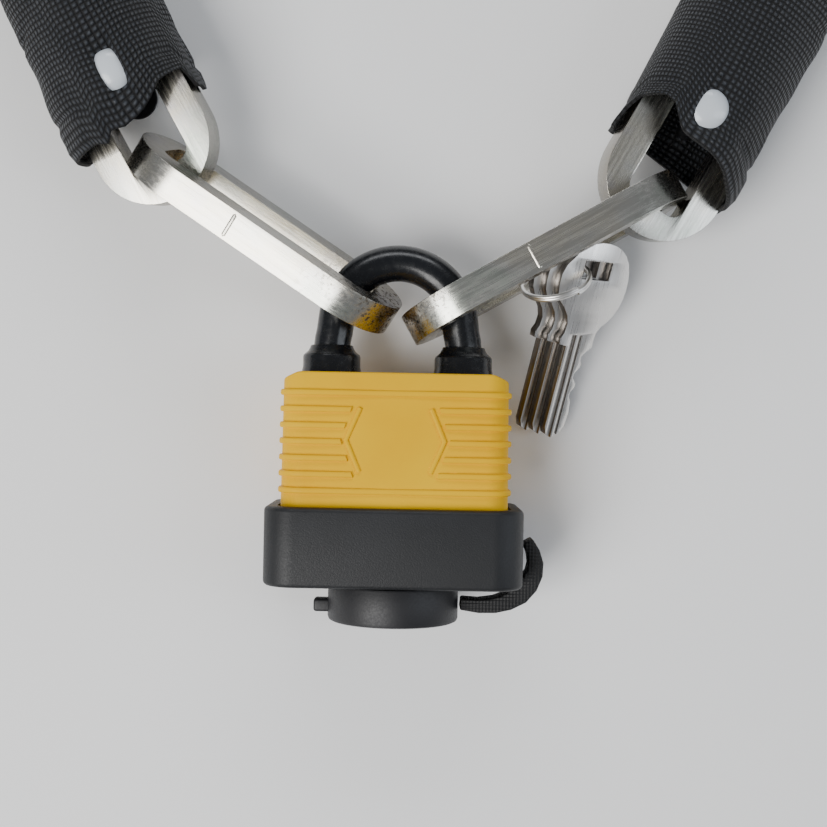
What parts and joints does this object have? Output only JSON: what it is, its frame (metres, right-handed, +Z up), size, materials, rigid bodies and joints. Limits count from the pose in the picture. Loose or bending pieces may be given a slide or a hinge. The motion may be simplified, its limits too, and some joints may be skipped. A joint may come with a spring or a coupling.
{
  "type": "chain lock",
  "caption": "Padlock with ribbed yellow cover and rubber base holding a loop of square-link chain in a black fabric sleeve, with a bunch of keys.",
  "frame": {"origin": "bottom centre of the bounding box: the surface that the lock and chain lie on is z = 0", "axes": "+Y from the padlock's keyway end towards its shackle and the chain loop, +Z up out of the cover's front face, +X to the padlock's right seen from the front"},
  "size_m": [0.2679, 0.4078, 0.038],
  "materials": {
    "cover_yellow": "smooth moulded, slightly glossy",
    "bumper_black": "fine grained",
    "coat_black": "smooth coat",
    "inner_steel": "brushed",
    "link_zinc": "bright zinc with worn patches",
    "cylinder_brass": "machined",
    "sleeve_nylon": "coarse basket weave",
    "rivet_white": "smooth dome",
    "key_nickel": "nickel plated, lightly scratched"
  },
  "bodies": {
    "lock_body": {"cover_shell": "cover_yellow", "base_bumper": "bumper_black", "cap_strap": "bumper_black", "bottom_plate": "inner_steel", "cylinder_block": "inner_steel", "middle_block": "inner_steel", "latch_block": "inner_steel", "top_plate": "inner_steel", "body_rivet_1": "inner_steel", "body_rivet_2": "inner_steel", "body_rivet_3": "inner_steel", "body_rivet_4": "inner_steel", "cylinder_housing": "cylinder_brass", "shackle_spring": "inner_steel", "latch_spring": "inner_steel"},
    "shackle": {"shackle_core": "inner_steel", "shackle_coat": "coat_black", "shackle_boot_left": "coat_black", "shackle_boot_right": "coat_black", "heel_clip": "inner_steel"},
    "plug": {"plug": "cylinder_brass", "cam_shaft": "inner_steel", "key_pin_1": "cylinder_brass", "key_pin_2": "cylinder_brass", "key_pin_3": "cylinder_brass", "key_pin_4": "cylinder_brass"},
    "latch": {"latch_bolt": "inner_steel"},
    "cap": {"keyway_cap": "bumper_black"},
    "long_link_left": {"long_link_left": "link_zinc"},
    "long_link_right": {"long_link_right": "link_zinc"},
    "chain_near": {"link_01": "link_zinc", "link_15": "link_zinc", "sleeve_end_left": "sleeve_nylon", "sleeve_end_right": "sleeve_nylon", "sleeve_rivet_left": "rivet_white", "sleeve_rivet_right": "rivet_white", "rivet_cap_left": "rivet_white", "rivet_cap_right": "rivet_white"},
    "chain_low": {"link_02": "link_zinc", "link_03": "link_zinc", "link_13": "link_zinc", "link_14": "link_zinc", "sleeve_low_left": "sleeve_nylon", "sleeve_low_right": "sleeve_nylon"},
    "chain_high": {"link_04": "link_zinc", "link_05": "link_zinc", "link_11": "link_zinc", "link_12": "link_zinc", "sleeve_high_left": "sleeve_nylon", "sleeve_high_right": "sleeve_nylon"},
    "chain_far": {"link_06": "link_zinc", "link_07": "link_zinc", "link_08": "link_zinc", "link_09": "link_zinc", "link_10": "link_zinc", "sleeve_far": "sleeve_nylon"},
    "key_ring": {"key_ring": "key_nickel"},
    "key_front": {"key_front": "key_nickel"},
    "key_middle": {"key_middle": "key_nickel"},
    "key_back": {"key_back": "key_nickel"}
  },
  "joints": [
    {"name": "shackle_slide", "type": "slide", "parent": "lock_body", "child": "shackle", "axis": [0, 1, 0], "range_m": [0, 0.016]},
    {"name": "plug_turn", "type": "hinge", "parent": "lock_body", "child": "plug", "pos_m": [-0.00183, -0.19399, 0.019], "axis": [0, 1, 0], "range_deg": [-90, 0]},
    {"name": "latch_slide", "type": "slide", "parent": "lock_body", "child": "latch", "axis": [1, 0, 0], "range_m": [0, 0.003]},
    {"name": "cap_swing", "type": "hinge", "parent": "lock_body", "child": "cap", "pos_m": [0.02917, -0.19699, 0.019], "axis": [0, 0, 1], "range_deg": [0, 110]},
    {"name": "links_lift", "type": "hinge", "parent": "shackle", "child": "long_link_left", "pos_m": [-0.00087, -0.12057, 0.019], "axis": [0.9914, -0.1305, 0], "range_deg": [-8, 12]},
    {"name": "right_link_lift", "type": "hinge", "parent": "shackle", "child": "long_link_right", "pos_m": [-0.00087, -0.12057, 0.019], "axis": [0.9914, -0.1305, 0], "range_deg": [-8, 12]},
    {"name": "fold_1", "type": "hinge", "parent": "long_link_left", "child": "chain_near", "pos_m": [0.0001, -0.09102, 0.019], "axis": [0.9984, -0.0564, 0], "range_deg": [-10, 10]},
    {"name": "fold_2", "type": "hinge", "parent": "chain_near", "child": "chain_low", "pos_m": [-0.00015, -0.05002, 0.019], "axis": [0.9992, -0.0396, 0], "range_deg": [-12, 12], "deforming": ["sleeve_end_left", "sleeve_end_right", "sleeve_low_left", "sleeve_low_right"]},
    {"name": "fold_3", "type": "hinge", "parent": "chain_low", "child": "chain_high", "pos_m": [0.00001, 0.03875, 0.019], "axis": [0.9996, -0.0296, 0], "range_deg": [-12, 12], "deforming": ["sleeve_high_left", "sleeve_high_right"]},
    {"name": "fold_4", "type": "hinge", "parent": "chain_high", "child": "chain_far", "pos_m": [0.00158, 0.12982, 0.019], "axis": [0.9995, -0.0312, 0], "range_deg": [-12, 12], "deforming": ["sleeve_far"]},
    {"name": "ring_shift", "type": "slide", "parent": "long_link_right", "child": "key_ring", "axis": [0.5, -0.866, 0], "range_m": [0, 0.012]},
    {"name": "key_front_swing", "type": "hinge", "parent": "key_ring", "child": "key_front", "pos_m": [0.04886, -0.1125, 0.01816], "axis": [0.5294, -0.3526, 0.7716], "range_deg": [-4, 12]},
    {"name": "key_middle_swing", "type": "hinge", "parent": "key_ring", "child": "key_middle", "pos_m": [0.04567, -0.11159, 0.0174], "axis": [0.5294, -0.3526, 0.7716], "range_deg": [-4, 8]},
    {"name": "key_back_swing", "type": "hinge", "parent": "key_ring", "child": "key_back", "pos_m": [0.04248, -0.11068, 0.01664], "axis": [0.5294, -0.3526, 0.7716], "range_deg": [-2, 8]}
  ],
  "couplings": [
    {"joint": "latch_slide", "follows": "plug_turn", "m_per_rad": -0.0019099},
    {"joint": "right_link_lift", "follows": "links_lift", "ratio": 1}
  ]
}
